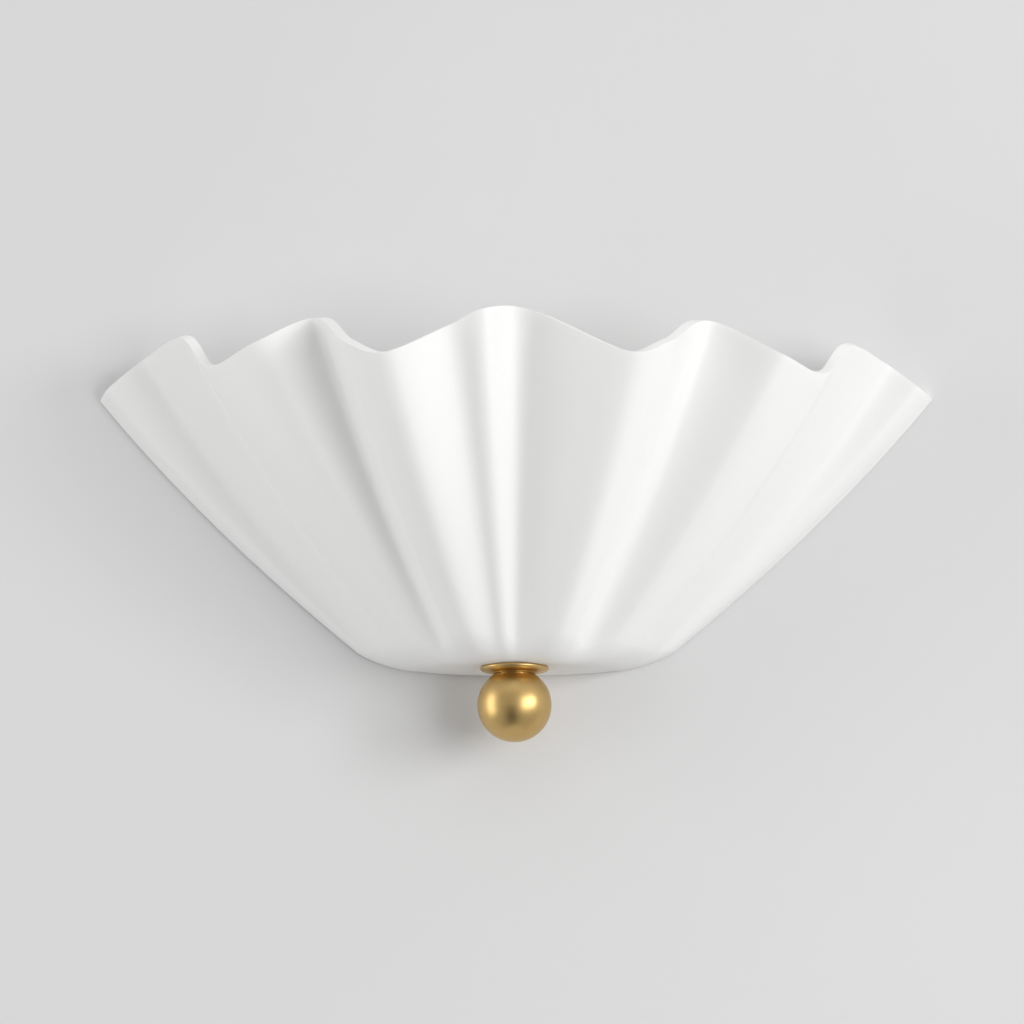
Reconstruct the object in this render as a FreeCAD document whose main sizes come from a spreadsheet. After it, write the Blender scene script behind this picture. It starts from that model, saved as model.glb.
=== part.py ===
import FreeCAD, Part
import math
import operator
import os
import types

import Sketcher

# Flower wall sconce: a ruffled ceramic half bowl that hangs on a steel bracket, held up by a brass ball.
# The wall is the plane y = 0 and the room is on the -y side. The origin is the centre of the two wall
# screws, and z is up. All sizes are in millimetres.

SIZES = {
    # the shade: how far its folded rim goes across, out from the wall and up from the floor
    "shade_half_width": 182,
    "shade_reach": 108,
    "shade_height": 147.4,
    "wall_bulge": 6.6,
    "base_half_width": 56.5,
    "base_reach": 52,
    "floor_half_width": 42,
    "shade_wall": 4,
    # the finial and the stack on its stud
    "stud_reach": 28,
    "stud_radius": 4.8,
    "stud_hole_gap": 0.7,
    "running_gap": 0.05,
    "ball_radius": 16,
    "ball_neck_radius": 8.3,
    "ball_neck_height": 0.2,
    "ball_thread_depth": 18,
    "stud_end_gap": 2,
    "collar_radius": 14.75,
    "collar_height": 2.2,
    "collar_edge": 0.6,
    "gasket_radius": 11,
    "gasket_thickness": 0.5,
    "cushion_radius": 10.5,
    "cushion_thickness": 3,
    "cushion_edge_gap": 0.5,
    "pipe_nut_radius": 8.1,
    "pipe_nut_height": 4,
    # the steel strips
    "strip_thickness": 2.5,
    "bracket_width": 22,
    "bracket_leg": 46,
    "foot_beyond_stud": 10,
    "bend_radius": 2,
    "bar_height": 40,
    "bar_end": 4,
    "bar_width": 16,
    "bar_thickness": 2,
    # the wall plate
    "pan_radius": 53,
    "pan_depth": 14,
    "pan_sheet": 1.2,
    "pan_edge_round": 4,
    "pan_floor_gap": 6.4,
    "strap_end_gap": 3.8,
    "strap_width": 20,
    "strap_thickness": 2,
    "slot_spacing": 69.85,
    "slot_length": 12,
    "slot_width": 5,
    "stud_spacing": 40,
    # small machine screws
    "screw_radius": 2,
    "screw_gap": 0.3,
    "screw_head_radius": 3.6,
    "screw_head_height": 2.2,
    "screw_nut_radius": 4,
    "screw_nut_height": 3.2,
    "upper_screw_inset": 7,
    "nut_edge_gap": 1,
    "cap_nut_height": 6,
    "ground_offset": 4.5,
    # the lampholders
    "lamp_spacing": 112,
    "holder_radius": 11.5,
    "holder_height": 28,
    "holder_floor": 7,
    "holder_lead_hole": 3.6,
    "sleeve_wall": 0.4,
    "sleeve_length": 14,
    "sleeve_lip": 1.2,
    "contact_length": 9,
    "contact_width": 3,
    "contact_thickness": 0.5,
    "contact_dimple": 1.4,
    "tap_screw_radius": 1.4,
    "tap_screw_head": 2.6,
    "tap_screw_length": 8,
    "tap_screw_spacing": 16,
    # the lamps
    "lamp_cap_radius": 5.95,
    "lamp_thread_gap": 0.35,
    "lamp_cap_length": 14,
    "lamp_cap_wall": 0.4,
    "lamp_tip_radius": 2.4,
    "lamp_tip_height": 2,
    "globe_radius": 17,
    "globe_neck": 6,
    "glass_wall": 0.8,
    # the wiring
    "lead_radius": 1,
    "lead_pitch": 2.8,
    "lead_bend": 3,
    "grommet_spacing": 44,
    "grommet_radius": 5.4,
    "grommet_flange": 1.5,
    "connector_spacing": 20,
    "connector_radius": 4,
    "connector_length": 12,
}

# The shade's rim runs through these spots from fold to fold. Each has its angle around the foot in degrees,
# and its place across, out from the wall and up, as shares of the half width, the reach and the height.
RIM_FOLDS = (
    (-90, (-1.000, 0.000, 0.826)), (-84, (-0.972, 0.090, 0.859)), (-75, (-0.888, 0.120, 0.938)),
    (-64, (-0.793, 0.370, 0.966)), (-55, (-0.725, 0.460, 0.869)), (-43, (-0.612, 0.610, 0.920)),
    (-30, (-0.472, 0.555, 1.000)), (-23, (-0.395, 0.830, 0.896)), (-15, (-0.298, 0.980, 0.842)),
    (-7, (-0.145, 0.880, 0.935)), (-3, (-0.067, 0.890, 0.981)), (2, (0.044, 0.800, 0.989)),
    (15, (0.268, 0.980, 0.844)), (23, (0.377, 0.840, 0.893)), (30, (0.464, 0.555, 0.988)),
    (43, (0.635, 0.610, 0.882)), (55, (0.736, 0.465, 0.842)), (64, (0.803, 0.370, 0.934)),
    (75, (0.884, 0.120, 0.919)), (84, (0.970, 0.090, 0.845)), (90, (1.000, 0.000, 0.822)))

# How much of the rim's folds is left at the foot
FOOT_FOLD = 0.4

WORK = {"+": operator.add, "-": operator.sub, "*": operator.mul, "/": operator.truediv}


class Size:
    """A number that also carries the sheet expression it comes from."""

    def __init__(self, number, text):
        self.number = number
        self.text = text

    def __add__(self, other):
        return joined(self, "+", other)

    def __radd__(self, other):
        return joined(other, "+", self)

    def __sub__(self, other):
        return joined(self, "-", other)

    def __rsub__(self, other):
        return joined(other, "-", self)

    def __mul__(self, other):
        return joined(self, "*", other)

    def __rmul__(self, other):
        return joined(other, "*", self)

    def __truediv__(self, other):
        return joined(self, "/", other)

    def __neg__(self):
        return joined(0, "-", self)


def as_size(value):
    return value if isinstance(value, Size) else Size(value, repr(value))


def joined(left, sign, right):
    left, right = as_size(left), as_size(right)
    return Size(WORK[sign](left.number, right.number), "(%s %s %s)" % (left.text, sign, right.text))


def root(value):
    return Size(math.sqrt(value.number), "sqrt(%s)" % value.text)


def arcsine(value):
    return Size(math.degrees(math.asin(value.number)), "asin(%s)" % value.text)


doc = FreeCAD.newDocument("FlowerWallSconce")
sheet = doc.addObject("Spreadsheet::Sheet", "Sizes")
for row, (name, number) in enumerate(SIZES.items(), start=1):
    sheet.set("A%d" % row, name)
    sheet.set("B%d" % row, str(number))
    sheet.setAlias("B%d" % row, name)
doc.recompute()
d = types.SimpleNamespace(**{name: Size(sheet.get(name), "Sizes." + name) for name in SIZES})

UPRIGHT = FreeCAD.Rotation()
OFF_WALL = FreeCAD.Rotation(FreeCAD.Vector(1, 0, 0), 90)     # a piece's own z points into the room
pieces = []


# Helpers: every one ties the sizes it is given to the sheet

def tie(thing, **sizes):
    for prop, size in sizes.items():
        thing.setExpression(prop, as_size(size).text)
    return thing


def place(thing, x=0, y=0, z=0, turn=UPRIGHT):
    x, y, z = as_size(x), as_size(y), as_size(z)
    thing.Placement = FreeCAD.Placement(FreeCAD.Vector(x.number, y.number, z.number), turn)
    for axis, size in (("x", x), ("y", y), ("z", z)):
        thing.setExpression("Placement.Base." + axis, size.text)
    return thing


def piece(thing, node):
    """Marks a finished object as one of the sconce's pieces, under its node name."""
    thing.Label = node
    pieces.append(thing)
    return thing


def cylinder(radius, height, x=0, y=0, z=0):
    return place(tie(doc.addObject("Part::Cylinder", "Round"), Radius=radius, Height=height), x, y, z)


def box(length, width, height, x=0, y=0, z=0):
    block = tie(doc.addObject("Part::Box", "Block"), Length=length, Width=width, Height=height)
    return place(block, x, y, z)


def hexagon(radius, height, x=0, y=0, z=0):
    prism = doc.addObject("Part::Prism", "Hexagon")
    prism.Polygon = 6
    return place(tie(prism, Circumradius=radius, Height=height), x, y, z)


def cut(base, *tools):
    for tool in tools:
        result = doc.addObject("Part::Cut", "Cut")
        result.Base, result.Tool = base, tool
        base = result
    return base


def fuse(*shapes):
    result = doc.addObject("Part::MultiFuse", "Joined")
    result.Shapes = list(shapes)
    return result


def group(*shapes):
    result = doc.addObject("Part::Compound", "Group")
    result.Links = list(shapes)
    return result


def sketch_on(body, role):
    sketch = body.newObject("Sketcher::SketchObject", "Outline")
    plane = next(feature for feature in body.Origin.OriginFeatures if feature.Role == role)
    sketch.AttachmentSupport = [(plane, "")]
    sketch.MapMode = "FlatFace"
    return sketch


def hold(sketch, kind, *where, size):
    """Adds a driving constraint and ties its value to the sheet."""
    size = as_size(size)
    index = sketch.addConstraint(Sketcher.Constraint(kind, *where, size.number))
    sketch.setExpression("Constraints[%d]" % index, size.text)


def outline(body, role, corners):
    """A closed outline of straight lines, each corner held by its two distances from the origin."""
    sketch = sketch_on(body, role)
    corners = [(as_size(across), as_size(up)) for across, up in corners]
    spots = [FreeCAD.Vector(across.number, up.number, 0) for across, up in corners]
    count = len(spots)
    for i in range(count):
        sketch.addGeometry(Part.LineSegment(spots[i], spots[(i + 1) % count]))
    for i in range(count):
        sketch.addConstraint(Sketcher.Constraint("Coincident", i, 2, (i + 1) % count, 1))
    for i, (across, up) in enumerate(corners):
        hold(sketch, "DistanceX", -1, 1, i, 1, size=across)
        hold(sketch, "DistanceY", -1, 1, i, 1, size=up)
    return sketch


def turned(corners):
    """A lathe-turned body: the outline gives radius and height, the body's z is the axis."""
    body = doc.addObject("PartDesign::Body", "Turned")
    revolution = body.newObject("PartDesign::Revolution", "Revolution")
    sketch = outline(body, "XZ_Plane", corners)
    revolution.Profile = sketch
    revolution.ReferenceAxis = (sketch, ["V_Axis"])
    revolution.Angle = 360
    body.Tip = revolution
    sketch.Visibility = False
    return body


def plate(role, corners, thickness):
    """A body cut from sheet: the outline on one of its planes, pushed out by the thickness."""
    body = doc.addObject("PartDesign::Body", "Plate")
    sketch = outline(body, role, corners)
    pad = tie(body.newObject("PartDesign::Pad", "Pad"), Length=thickness)
    pad.Profile = sketch
    body.Tip = pad
    return body


def drill(body, role, holes):
    """Round holes right through the body, given as across, up and radius on one of its planes."""
    sketch = sketch_on(body, role)
    for i, (across, up, radius) in enumerate(holes):
        across, up, radius = as_size(across), as_size(up), as_size(radius)
        centre = FreeCAD.Vector(across.number, up.number, 0)
        sketch.addGeometry(Part.Circle(centre, FreeCAD.Vector(0, 0, 1), radius.number))
        hold(sketch, "DistanceX", -1, 1, i, 3, size=across)
        hold(sketch, "DistanceY", -1, 1, i, 3, size=up)
        hold(sketch, "Radius", i, size=radius)
    through(body, sketch)


def through(body, sketch):
    pocket = body.newObject("PartDesign::Pocket", "Pocket")
    pocket.Profile = sketch
    pocket.Type = "ThroughAll"
    pocket.Midplane = True
    body.Tip = pocket


def soften(body, radius, chosen):
    """Rounds the edges of the body for which the test holds."""
    doc.recompute()
    tip = body.Tip
    names = ["Edge%d" % i for i, edge in enumerate(tip.Shape.Edges, start=1) if chosen(edge)]
    fillet = tie(body.newObject("PartDesign::Fillet", "Rounding"), Radius=radius)
    fillet.Base = (tip, names)
    body.Tip = fillet


def ring(outer, inner, height, x=0, y=0, z=0):
    return place(cut(cylinder(outer, height), cylinder(inner, height)), x, y, z)


def nut(radius, bore, height, x=0, y=0, z=0):
    return place(cut(hexagon(radius, height), cylinder(bore, height)), x, y, z)


# Levels and lines that several pieces share

stud_y = -d.stud_reach
underside = -(d.pan_radius + d.pan_floor_gap + d.shade_wall)
floor_top = underside + d.shade_wall
foot_under = floor_top + d.cushion_thickness
foot_top = foot_under + d.strip_thickness
collar_top = underside - d.gasket_thickness
ball_top = collar_top - d.collar_height
bar_under = underside + d.bar_height
bar_top = bar_under + d.bar_thickness
holder_top = bar_top + d.holder_height
holder_seat = bar_top + d.holder_floor
pan_inside = d.pan_depth - d.pan_sheet
leg_face = d.pan_depth + d.strip_thickness
stud_hole = d.stud_radius + d.stud_hole_gap
thread_hole = d.stud_radius + d.running_gap
screw_hole = d.screw_radius + d.screw_gap
screw_thread = d.screw_radius + d.running_gap
sides = (("left", -1), ("right", 1))


# The shade: slip-cast ceramic, one wall folded in and out around half a bowl

floor_reach = d.stud_reach + d.cushion_radius + d.cushion_edge_gap


def rim_point(turn):
    """The outer rim at an angle around the foot, on a smooth curve through the folds."""
    angle, last = math.degrees(turn), len(RIM_FOLDS) - 2
    fold = next((i for i in range(last) if angle < RIM_FOLDS[i + 1][0]), last)
    start, end = RIM_FOLDS[fold][0], RIM_FOLDS[fold + 1][0]
    part = (angle - start) / (end - start)
    here, there = FreeCAD.Vector(*RIM_FOLDS[fold][1]), FreeCAD.Vector(*RIM_FOLDS[fold + 1][1])
    before = FreeCAD.Vector(*RIM_FOLDS[fold - 1][1]) if fold else here * 2 - there
    after = FreeCAD.Vector(*RIM_FOLDS[fold + 2][1]) if fold < last else there * 2 - here
    bend = before * 2 - here * 5 + there * 4 - after
    twist = here * 3 - before - there * 3 + after
    share = here + (there - before + (bend + twist * part) * part) * (part / 2)
    return FreeCAD.Vector(share.x * d.shade_half_width.number, -share.y * d.shade_reach.number,
                          share.z * d.shade_height.number)


def on_ellipse(half_width, reach, turn):
    return FreeCAD.Vector(half_width.number * math.sin(turn), -reach.number * math.cos(turn), 0)


def wall_point(turn, rise):
    """The outside of the shade, by the angle around the foot and by the part of the way up the wall."""
    rim = rim_point(turn)
    small_rim = FreeCAD.Vector(rim.x * (d.base_half_width / d.shade_half_width).number,
                               rim.y * (d.base_reach / d.shade_reach).number, 0)
    foot = on_ellipse(d.base_half_width, d.base_reach, turn) * (1 - FOOT_FOLD) + small_rim * FOOT_FOLD
    outward = on_ellipse(d.base_reach, d.base_half_width, turn).normalize()
    return foot + (rim - foot) * rise + outward * (4 * rise * (1 - rise) * d.wall_bulge.number)


def wall_axes(turn, rise, step=1e-4):
    """Two unit vectors at a point of the wall: square to it and outward, and up along it."""
    up = wall_point(turn, rise + step) - wall_point(turn, rise - step)
    along = wall_point(turn + step, rise) - wall_point(turn - step, rise)
    out = along.cross(up)
    return out.normalize(), up.normalize()


def shade_section(turn):
    """Control points of the section at one angle, from the inner floor over the lip to the outer floor."""
    wall = d.shade_wall.number
    flat, foot = on_ellipse(d.floor_half_width, floor_reach, turn), wall_point(turn, 0)
    corner = (foot - flat).Length / (wall_point(turn, 1) - foot).Length
    outer = [flat, flat + (foot - flat) * 0.6]
    inner = [spot + FreeCAD.Vector(0, 0, wall) for spot in outer]
    rises = [corner + (1 - corner) * part for part in (0.13, 0.26, 0.39, 0.52, 0.65, 0.78, 0.90, 0.96, 1.0)]
    for rise in [corner * 0.4, corner] + rises:
        out, up = wall_axes(turn, rise)
        outer.append(wall_point(turn, rise))
        inner.append(outer[-1] - out * wall)
    lip = [spot + up * (wall * 0.6) for spot in (inner[-1], outer[-1])]
    return inner + lip + outer[::-1]


def shade_solid():
    steps = 5
    starts = [spot[0] for spot in RIM_FOLDS]
    angles = [start + (end - start) * step / steps
              for start, end in zip(starts, starts[1:]) for step in range(steps)] + [starts[-1]]
    net = [shade_section(math.radians(angle)) for angle in angles]
    for end in (net[0], net[-1]):
        for spot in end:
            spot.y = 0.0
    rows = [list(row) for row in zip(*net)]
    skin = Part.BSplineSurface()
    counts = (len(rows), len(net))
    mults = [[4] + [1] * (count - 4) + [4] for count in counts]
    knots = [list(range(count - 2)) for count in counts]
    skin.buildFromPolesMultsKnots(rows, mults[0], mults[1], knots[0], knots[1], False, False, 3, 3)
    inner_edge, outer_edge = [skin.uIso(value).toShape() for value in (knots[0][0], knots[0][-1])]
    end_edges = [skin.vIso(value).toShape() for value in (knots[1][0], knots[1][-1])]
    backs = [Part.makeLine(row[0], row[-1]) for row in (rows[0], rows[-1])]
    faces = [skin.toShape()]
    for edges in ([inner_edge, backs[0]], [outer_edge, backs[1]], end_edges + backs):
        faces.append(Part.Face(Part.Wire(Part.__sortEdges__(edges))))
    shell = Part.Compound(faces)
    shell.sewShape()
    solid = Part.Solid(shell.Shells[0])
    return solid if solid.Volume > 0 else solid.reversed()


bowl = doc.addObject("Part::Feature", "Bowl")
bowl.Shape = shade_solid()
place(bowl, z=underside)
piece(cut(bowl, cylinder(stud_hole, d.shade_wall * 3, y=stud_y, z=underside - d.shade_wall)), "shade_shell")


# The finial: a dished collar and a ball, both turned brass, on a threaded pipe

collar_neck = d.ball_neck_radius + d.gasket_thickness
dish = d.collar_height - d.collar_edge
dish_centre = (d.collar_radius * d.collar_radius - collar_neck * collar_neck - dish * dish) / (2 * dish)
dish_radius = root(d.collar_radius * d.collar_radius + dish_centre * dish_centre)
dish_zone = doc.addObject("Part::Sphere", "Dish")
tie(dish_zone, Radius=dish_radius, Angle1=arcsine(-(dish_centre + dish) / dish_radius),
    Angle2=arcsine(-dish_centre / dish_radius))
place(dish_zone, z=dish_centre + dish)
collar = cut(fuse(dish_zone, cylinder(d.collar_radius, d.collar_edge, z=dish)),
             cylinder(stud_hole, d.collar_height))
piece(place(collar, y=stud_y, z=ball_top), "finial_collar")

neck_rise = root(d.ball_radius * d.ball_radius - d.ball_neck_radius * d.ball_neck_radius)
globe = tie(doc.addObject("Part::Sphere", "Ball"), Radius=d.ball_radius,
            Angle2=arcsine(neck_rise / d.ball_radius))
ball_height = neck_rise + d.ball_neck_height
ball = cut(fuse(globe, cylinder(d.ball_neck_radius, d.ball_neck_height, z=neck_rise)),
           cylinder(thread_hole, d.ball_thread_depth, z=ball_height - d.ball_thread_depth))
piece(place(ball, y=stud_y, z=ball_top - ball_height), "finial_ball")

stud_bottom = ball_top - d.ball_thread_depth + d.stud_end_gap
stud_top = bar_top + d.pipe_nut_height + d.stud_end_gap
stud = ring(d.stud_radius, d.stud_radius * 0.65, stud_top - stud_bottom, y=stud_y, z=stud_bottom)
piece(stud, "finial_stud")
piece(ring(d.gasket_radius, stud_hole, d.gasket_thickness, y=stud_y, z=collar_top), "collar_gasket")
piece(ring(d.cushion_radius, stud_hole, d.cushion_thickness, y=stud_y, z=floor_top), "cushion_washer")


def pipe_nut(z):
    return nut(d.pipe_nut_radius, thread_hole, d.pipe_nut_height, y=stud_y, z=z)


piece(pipe_nut(foot_top), "foot_nut")
piece(group(pipe_nut(bar_under - d.pipe_nut_height), pipe_nut(bar_top)), "bar_nuts")


# The bracket: steel strip bent to an L, its leg on the pan and its foot over the shade's floor

foot_end = -(d.stud_reach + d.foot_beyond_stud)
leg_top = foot_under + d.bracket_leg
upper_screw_z = leg_top - d.upper_screw_inset
lower_screw_z = d.pan_edge_round + d.screw_nut_radius + d.nut_edge_gap - d.pan_radius
bracket = plate("YZ_Plane", [(-d.pan_depth, leg_top), (-d.pan_depth, foot_under), (foot_end, foot_under),
                             (foot_end, foot_top), (-leg_face, foot_top), (-leg_face, leg_top)],
                d.bracket_width)


def runs_at(y, z):
    """A test for the straight edges along x at one height and distance from the wall."""
    def test(edge):
        middle = edge.CenterOfMass
        return abs(middle.y - y.number) < 1e-6 and abs(middle.z - z.number) < 1e-6
    return test


soften(bracket, d.bend_radius, runs_at(-leg_face, foot_top))
soften(bracket, d.bend_radius + d.strip_thickness, runs_at(-d.pan_depth, foot_under))
drill(bracket, "XY_Plane", [(d.bracket_width / 2, stud_y, stud_hole)])
drill(bracket, "XZ_Plane", [(d.bracket_width / 2, upper_screw_z, screw_hole),
                            (d.bracket_width / 2, lower_screw_z, screw_hole)])
piece(place(bracket, x=-d.bracket_width / 2), "shade_bracket")


# The wall plate: a spun pan over the wall box, held to a strap by two studs

grommet_z = bar_under - d.tap_screw_head - d.lead_pitch
grommet_hole = d.grommet_radius + d.running_gap
strap_stud_x = d.stud_spacing / 2
pan_bore = d.pan_radius - d.pan_sheet
pan = turned([(pan_bore, 0), (d.pan_radius, 0), (d.pan_radius, d.pan_depth), (0, d.pan_depth),
              (0, pan_inside), (pan_bore, pan_inside)])


def circles(radius, z):
    """A test for the round edge of one radius at one height."""
    def test(edge):
        curve = edge.Curve
        if not isinstance(curve, Part.Circle):
            return False
        return abs(curve.Radius - radius.number) < 1e-6 and abs(curve.Center.z - z.number) < 1e-6
    return test


soften(pan, d.pan_edge_round, circles(d.pan_radius, d.pan_depth))
soften(pan, d.pan_edge_round - d.pan_sheet, circles(pan_bore, pan_inside))
drill(pan, "XY_Plane",
      [(strap_stud_x * side, 0, screw_hole) for name, side in sides]
      + [(0, upper_screw_z, screw_hole), (0, lower_screw_z, screw_hole)]
      + [(d.grommet_spacing / 2 * side, grommet_z, grommet_hole) for name, side in sides])
piece(place(pan, turn=OFF_WALL), "wall_pan")

strap_half_length = pan_bore - d.strap_end_gap
strap = plate("XY_Plane", [(strap_half_length * across, d.strap_width / 2 * up)
                           for across, up in ((-1, -1), (1, -1), (1, 1), (-1, 1))], d.strap_thickness)
drill(strap, "XY_Plane", [(strap_stud_x * side, 0, screw_thread) for name, side in sides]
      + [(0, -d.ground_offset, screw_thread)])


def slot(x):
    """A cutter for a slot along x, its round ends included in its length."""
    straight = d.slot_length - d.slot_width
    end = d.slot_width / 2
    return fuse(box(straight, d.slot_width, d.strap_thickness, x=x - straight / 2, y=-end),
                cylinder(end, d.strap_thickness, x=x - straight / 2),
                cylinder(end, d.strap_thickness, x=x + straight / 2))


slotted = cut(strap, *[slot(d.slot_spacing / 2 * side) for name, side in sides])
piece(place(slotted, turn=OFF_WALL), "mounting_strap")

stud_length = d.pan_depth + d.cap_nut_height * 0.7
studs = group(*[cylinder(d.screw_radius, stud_length, x=strap_stud_x * side) for name, side in sides])
piece(place(studs, turn=OFF_WALL), "strap_studs")


def cap_nut(x):
    dome = doc.addObject("Part::Sphere", "Dome")
    dome.Angle1 = 0
    place(tie(dome, Radius=d.cap_nut_height - d.screw_nut_height), z=d.screw_nut_height)
    solid = fuse(hexagon(d.screw_nut_radius, d.screw_nut_height), dome)
    return place(cut(solid, cylinder(screw_thread, d.cap_nut_height * 0.75)), x=x, z=d.pan_depth)


cap_nuts = group(*[cap_nut(strap_stud_x * side) for name, side in sides])
piece(place(cap_nuts, turn=OFF_WALL), "cap_nuts")


def screw(length, x, y, z):
    """A round-headed screw whose head sits at the height z and whose shank runs back from there."""
    return fuse(cylinder(d.screw_radius, length, x=x, y=y, z=z - length),
                cylinder(d.screw_head_radius, d.screw_head_height, x=x, y=y, z=z))


bracket_screw_length = d.strip_thickness + d.pan_sheet + d.screw_nut_height
screw_heights = (upper_screw_z, lower_screw_z)
bracket_screws = group(*[screw(bracket_screw_length, 0, height, leg_face) for height in screw_heights])
piece(place(bracket_screws, turn=OFF_WALL), "bracket_screws")
bracket_nuts = group(*[nut(d.screw_nut_radius, screw_thread, d.screw_nut_height, y=height,
                           z=pan_inside - d.screw_nut_height) for height in screw_heights])
piece(place(bracket_nuts, turn=OFF_WALL), "bracket_nuts")
ground_screw = screw(d.strap_thickness, 0, -d.ground_offset, d.strap_thickness)
piece(place(ground_screw, turn=OFF_WALL), "ground_screw")


# The lamp bar and its two lampholders

lamp_x = {name: d.lamp_spacing / 2 * side for name, side in sides}
tap_shift = d.tap_screw_spacing / 2
bar_half_length = d.lamp_spacing / 2 + tap_shift + d.bar_end
bar = plate("XY_Plane", [(bar_half_length * across, d.bar_width / 2 * up)
                         for across, up in ((-1, -1), (1, -1), (1, 1), (-1, 1))], d.bar_thickness)
tap_spots = [x + tap_shift * end for x in lamp_x.values() for end in (-1, 1)]
drill(bar, "XY_Plane", [(0, 0, stud_hole)]
      + [(x, 0, d.holder_lead_hole) for x in lamp_x.values()]
      + [(spot, 0, d.tap_screw_radius + d.screw_gap) for spot in tap_spots])
piece(place(bar, y=stud_y, z=bar_under), "lamp_bar")

tap_head = d.tap_screw_radius * 1.2
piece(place(group(*[fuse(cylinder(d.tap_screw_radius, d.tap_screw_length, x=spot),
                         cylinder(d.tap_screw_head, tap_head, x=spot, z=-tap_head)) for spot in tap_spots]),
            y=stud_y, z=bar_under), "holder_screws")

sleeve_inside = d.lamp_cap_radius + d.lamp_thread_gap
sleeve_outside = sleeve_inside + d.sleeve_wall
holder_bore = sleeve_outside + d.running_gap
tip_z = holder_seat + d.contact_thickness * 2
cap_z = tip_z + d.lamp_tip_height
cap_top = cap_z + d.lamp_cap_length
globe_z = holder_top + d.globe_radius + d.contact_thickness


def lampholder(name):
    cup = turned([(d.holder_lead_hole, 0), (d.holder_radius, 0), (d.holder_radius, d.holder_height),
                  (holder_bore, d.holder_height), (holder_bore, d.holder_floor),
                  (d.holder_lead_hole, d.holder_floor)])
    tapped = [cylinder(d.tap_screw_radius + d.running_gap, d.tap_screw_length, x=tap_shift * end,
                       z=-d.bar_thickness) for end in (-1, 1)]
    piece(place(cut(cup, *tapped), lamp_x[name], stud_y, bar_top), "holder_body_" + name)
    lip = sleeve_inside - d.sleeve_lip
    sleeve = turned([(lip, 0), (sleeve_outside, 0), (sleeve_outside, d.sleeve_length),
                     (sleeve_inside, d.sleeve_length), (sleeve_inside, d.sleeve_wall),
                     (lip, d.sleeve_wall)])
    piece(place(sleeve, lamp_x[name], stud_y, holder_seat), "holder_sleeve_" + name)
    contact = fuse(box(d.contact_length, d.contact_width, d.contact_thickness,
                       x=-d.contact_length / 2, y=-d.contact_width / 2),
                   cylinder(d.contact_dimple, d.contact_thickness * 2))
    piece(place(contact, lamp_x[name], stud_y, holder_seat), "holder_contact_" + name)


# The lamps: small opal globes with a candelabra screw cap

def lamp(name):
    tip = cylinder(d.lamp_tip_radius, d.lamp_tip_height, lamp_x[name], stud_y, tip_z)
    piece(tip, "bulb_tip_" + name)
    bore = d.lamp_cap_radius - d.lamp_cap_wall
    cap = turned([(0, 0), (d.lamp_cap_radius, 0), (d.lamp_cap_radius, d.lamp_cap_length),
                  (bore, d.lamp_cap_length), (bore, d.lamp_cap_wall), (0, d.lamp_cap_wall)])
    piece(place(cap, lamp_x[name], stud_y, cap_z), "bulb_cap_" + name)
    neck = bore - d.running_gap
    neck_length = globe_z - cap_top + d.globe_neck

    def envelope(inset):
        bulb = tie(doc.addObject("Part::Sphere", "Globe"), Radius=d.globe_radius - inset)
        return fuse(bulb, cylinder(neck - inset, neck_length, z=-neck_length))

    glass = cut(envelope(0), envelope(d.glass_wall))
    piece(place(glass, lamp_x[name], stud_y, globe_z), "bulb_glass_" + name)


for name in lamp_x:
    lampholder(name)
    lamp(name)


# The wiring inside: two leads from each lampholder, through the pan, to a connector each

def lead(corners):
    """One insulated lead along straight runs joined by quarter-circle bends."""
    spots = [FreeCAD.Vector(*[as_size(value).number for value in corner]) for corner in corners]
    bend = d.lead_bend.number
    edges, start = [], spots[0]
    for before, corner, after in zip(spots, spots[1:], spots[2:]):
        arriving, leaving = (corner - before).normalize(), (after - corner).normalize()
        enter, leave = corner - arriving * bend, corner + leaving * bend
        middle = corner + (leaving - arriving) * (bend * (1 - math.sqrt(0.5)))
        edges += [Part.LineSegment(start, enter).toShape(), Part.Arc(enter, middle, leave).toShape()]
        start = leave
    edges.append(Part.LineSegment(start, spots[-1]).toShape())
    path = Part.Wire(edges)
    section = Part.Wire(Part.Circle(spots[0], spots[1] - spots[0], d.lead_radius.number).toShape())
    solid = path.makePipeShell([section], True, True)
    expected = math.pi * d.lead_radius.number ** 2 * path.Length
    if abs(solid.Volume / expected - 1) > 0.01:
        raise ValueError("a lead does not fill its route")
    feature = doc.addObject("Part::Feature", "Lead")
    feature.Shape = solid
    return feature


half_pitch = d.lead_pitch / 2
connector_mouth = grommet_z + half_pitch + d.lead_bend


def lead_pair(x_shift, level, depth, connector_x):
    """The left and right lead of one colour; the two meet side by side in their connector."""
    pair = []
    for name, side in sides:
        holder_x = lamp_x[name] + x_shift * side
        grommet_x = d.grommet_spacing / 2 * side
        end_x = connector_x + d.lead_radius * 1.2 * side
        end_z = connector_mouth + d.connector_length / 2
        pair.append(lead([(holder_x, stud_y, bar_top + d.holder_floor / 2), (holder_x, stud_y, level),
                          (grommet_x, stud_y, level), (grommet_x, depth, level), (end_x, depth, level),
                          (end_x, depth, end_z)]))
    return group(*pair)


def connector(x, depth):
    """A twist-on connector: a closed cap over the two lead ends."""
    cap = turned([(d.lead_radius * 2.2, 0), (d.connector_radius, 0),
                  (d.connector_radius * 0.75, d.connector_length), (0, d.connector_length),
                  (0, d.connector_length * 0.7), (d.lead_radius * 2.2, d.connector_length * 0.7)])
    return place(cap, x, depth, connector_mouth)


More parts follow.
